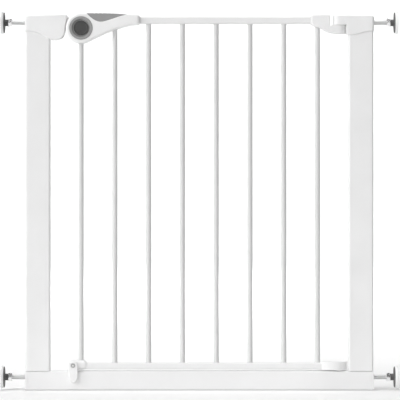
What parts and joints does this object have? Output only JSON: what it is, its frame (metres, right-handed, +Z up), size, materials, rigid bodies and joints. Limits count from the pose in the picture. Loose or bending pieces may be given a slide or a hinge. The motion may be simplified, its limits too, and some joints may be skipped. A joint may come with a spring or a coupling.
{
  "type": "pressure-fit safety gate",
  "caption": "White tubular safety gate held between two walls by screw feet, with a barred leaf that swings, a thumb-slide latch with a round button, and a stopper flap.",
  "frame": {"origin": "middle of the crossbar's underside", "axes": "+X across the doorway to the viewer's right, +Z up, -Y towards the side that the leaf opens to"},
  "size_m": [0.78, 0.0448, 0.7439],
  "materials": {
    "white_powder_coat": "satin white powder coat over steel tube",
    "white_plastic": "satin moulded white",
    "white_cup_plastic": "satin moulded white",
    "mid_grey_plastic": "fine texture, mid grey",
    "dark_grey_plastic": "satin dark grey",
    "dark_rubber": "matt",
    "zinc_steel": "bright zinc plate",
    "chrome_plate": "bright plate",
    "spring_steel": "drawn wire",
    "natural_nylon": "natural nylon"
  },
  "bodies": {
    "frame": {"crossbar": "white_powder_coat", "left_post": "white_powder_coat", "right_post": "white_powder_coat", "keeper_housing_front": "white_plastic", "keeper_housing_rear": "white_plastic", "hinge_housing_front": "white_plastic", "hinge_housing_rear": "white_plastic", "housing_screws": "zinc_steel", "keeper_plate": "zinc_steel", "upper_hinge_pin": "zinc_steel", "lower_hinge_pin": "zinc_steel", "lower_hinge_washer": "zinc_steel", "thread_bushes": "zinc_steel", "crossbar_end_caps": "white_plastic"},
    "leaf": {"top_rail": "white_powder_coat", "bottom_rail": "white_powder_coat", "bar_1": "white_powder_coat", "bar_2": "white_powder_coat", "bar_3": "white_powder_coat", "bar_4": "white_powder_coat", "bar_5": "white_powder_coat", "bar_6": "white_powder_coat", "bar_7": "white_powder_coat", "bar_8": "white_powder_coat", "handle_front_shell": "white_plastic", "handle_rear_shell": "white_plastic", "handle_screws": "zinc_steel", "dial_bezel": "mid_grey_plastic", "spring_stop_pin": "zinc_steel", "latch_spring": "spring_steel", "button_spring": "spring_steel", "upper_hinge_bracket": "white_plastic", "upper_hinge_bush": "natural_nylon", "lower_hinge_sleeve": "white_plastic", "lower_hinge_bush": "natural_nylon", "latch_foot": "white_plastic", "stopper_pin": "zinc_steel"},
    "latch_slider": {"thumb_slider": "mid_grey_plastic", "slider_screw": "zinc_steel", "latch_bolt": "zinc_steel"},
    "lock_button": {"push_button": "dark_grey_plastic"},
    "stopper": {"stopper_flap": "white_plastic"},
    "foot_upper_left": {"wall_cup_upper_left": "white_cup_plastic", "rubber_foot_upper_left": "dark_rubber"},
    "spindle_upper_left": {"spindle_rod_upper_left": "zinc_steel", "hex_nut_upper_left": "chrome_plate"},
    "foot_upper_right": {"wall_cup_upper_right": "white_cup_plastic", "rubber_foot_upper_right": "dark_rubber"},
    "spindle_upper_right": {"spindle_rod_upper_right": "zinc_steel", "hex_nut_upper_right": "chrome_plate"},
    "foot_lower_left": {"wall_cup_lower_left": "white_cup_plastic", "rubber_foot_lower_left": "dark_rubber"},
    "spindle_lower_left": {"spindle_rod_lower_left": "zinc_steel", "hex_nut_lower_left": "chrome_plate"},
    "foot_lower_right": {"wall_cup_lower_right": "white_cup_plastic", "rubber_foot_lower_right": "dark_rubber"},
    "spindle_lower_right": {"spindle_rod_lower_right": "zinc_steel", "hex_nut_lower_right": "chrome_plate"}
  },
  "joints": [
    {"name": "leaf_swing", "type": "hinge", "parent": "frame", "child": "leaf", "pos_m": [0.275, 0, 0], "axis": [0, 0, 1], "range_deg": [0, 90]},
    {"name": "latch_slide", "type": "slide", "parent": "leaf", "child": "latch_slider", "axis": [1, 0, 0], "range_m": [0, 0.012], "stiffness_N_per_m": 350, "springref_m": -0.008, "deforming": ["latch_spring"]},
    {"name": "button_press", "type": "slide", "parent": "leaf", "child": "lock_button", "axis": [0, 1, 0], "range_m": [0, 0.003], "stiffness_N_per_m": 500, "springref_m": -0.004, "deforming": ["button_spring"]},
    {"name": "stopper_turn", "type": "hinge", "parent": "leaf", "child": "stopper", "pos_m": [-0.2473, -0.0147, 0.0489], "axis": [0, 1, 0], "range_deg": [0, 180]},
    {"name": "foot_slide_upper_left", "type": "slide", "parent": "frame", "child": "foot_upper_left", "axis": [-1, 0, 0], "range_m": [-0.015, 0.02]},
    {"name": "spindle_turn_upper_left", "type": "hinge", "parent": "foot_upper_left", "child": "spindle_upper_left", "pos_m": [-0.35, 0, 0.7215], "axis": [-1, 0, 0], "range_deg": [-3610, 4810]},
    {"name": "foot_slide_upper_right", "type": "slide", "parent": "frame", "child": "foot_upper_right", "axis": [1, 0, 0], "range_m": [-0.015, 0.02]},
    {"name": "spindle_turn_upper_right", "type": "hinge", "parent": "foot_upper_right", "child": "spindle_upper_right", "pos_m": [0.35, 0, 0.7215], "axis": [1, 0, 0], "range_deg": [-3610, 4810]},
    {"name": "foot_slide_lower_left", "type": "slide", "parent": "frame", "child": "foot_lower_left", "axis": [-1, 0, 0], "range_m": [-0.015, 0.02]},
    {"name": "spindle_turn_lower_left", "type": "hinge", "parent": "foot_lower_left", "child": "spindle_lower_left", "pos_m": [-0.35, 0, 0.0254], "axis": [-1, 0, 0], "range_deg": [-3610, 4810]},
    {"name": "foot_slide_lower_right", "type": "slide", "parent": "frame", "child": "foot_lower_right", "axis": [1, 0, 0], "range_m": [-0.015, 0.02]},
    {"name": "spindle_turn_lower_right", "type": "hinge", "parent": "foot_lower_right", "child": "spindle_lower_right", "pos_m": [0.35, 0, 0.0254], "axis": [1, 0, 0], "range_deg": [-3610, 4810]}
  ],
  "couplings": [
    {"joint": "spindle_turn_upper_left", "follows": "foot_slide_upper_left", "rad_per_m": 4188.8},
    {"joint": "spindle_turn_upper_right", "follows": "foot_slide_upper_right", "rad_per_m": 4188.8},
    {"joint": "spindle_turn_lower_left", "follows": "foot_slide_lower_left", "rad_per_m": 4188.8},
    {"joint": "spindle_turn_lower_right", "follows": "foot_slide_lower_right", "rad_per_m": 4188.8}
  ]
}
